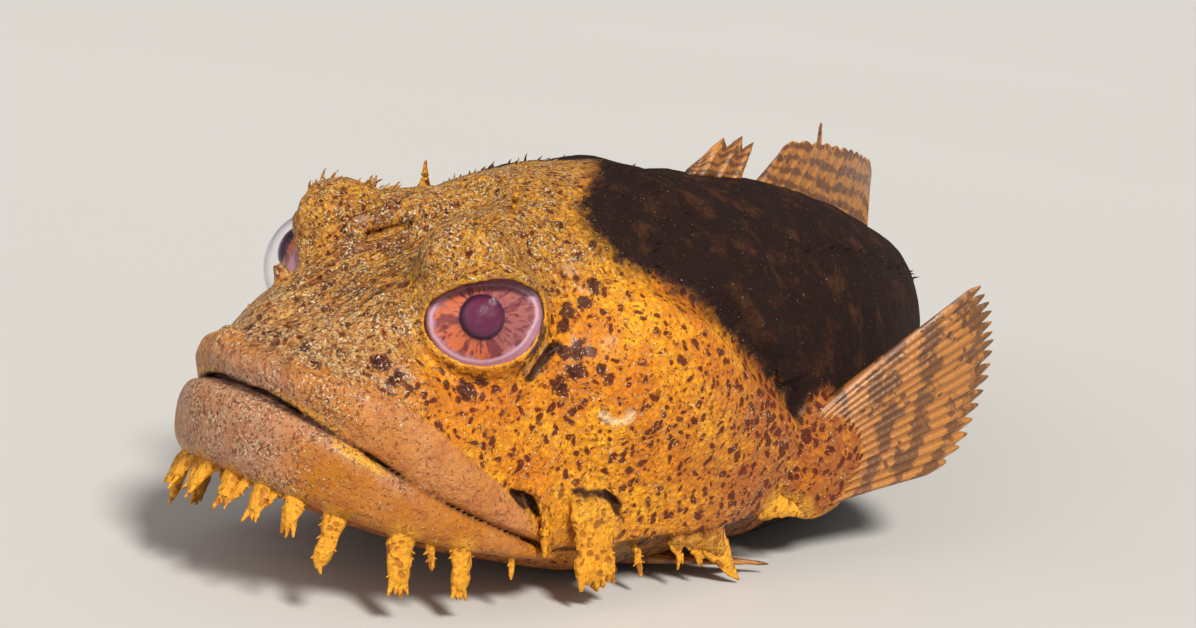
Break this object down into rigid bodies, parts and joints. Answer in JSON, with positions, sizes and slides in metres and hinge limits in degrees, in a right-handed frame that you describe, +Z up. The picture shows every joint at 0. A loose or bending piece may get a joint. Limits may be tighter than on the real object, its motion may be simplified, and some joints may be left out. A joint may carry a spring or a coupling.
{
  "type": "toadfish model",
  "caption": "Life-size still model of a spotted orange toadfish resting on its belly, wide mouth shut, chin barbels hanging, tail swung to its right.",
  "frame": {"origin": "the middle of the bounding box in X and Y, at the flat underside of the belly", "axes": "+X from the snout towards the tail, +Y towards the fish's right side, +Z up"},
  "size_m": [0.2672, 0.1412, 0.0707],
  "materials": {
    "skin": "satin wet skin, orange-yellow with maroon spots",
    "lip": "satin skin, pinkish tan, finely grained",
    "fin": "satin ribbed fin skin, orange-brown with dark bars",
    "eye": "glossy, salmon iris round a dark purple pupil"
  },
  "bodies": {
    "root": {"head": "skin", "upper_lip": "lip", "lower_lip": "lip", "lower_jaw": "skin", "eye_left": "eye", "eye_right": "eye", "gill_cover_left": "skin", "gill_cover_right": "skin", "trunk": "skin", "tail_front": "skin", "tail_stalk": "skin", "spiny_dorsal_fin": "fin", "soft_dorsal_front": "fin", "soft_dorsal_rear": "fin", "anal_fin_front": "fin", "anal_fin_rear": "fin", "caudal_fin": "fin", "pectoral_fin_left": "fin", "pectoral_fin_right": "fin", "pelvic_fin_left": "fin", "pelvic_fin_right": "fin"}
  },
  "joints": []
}
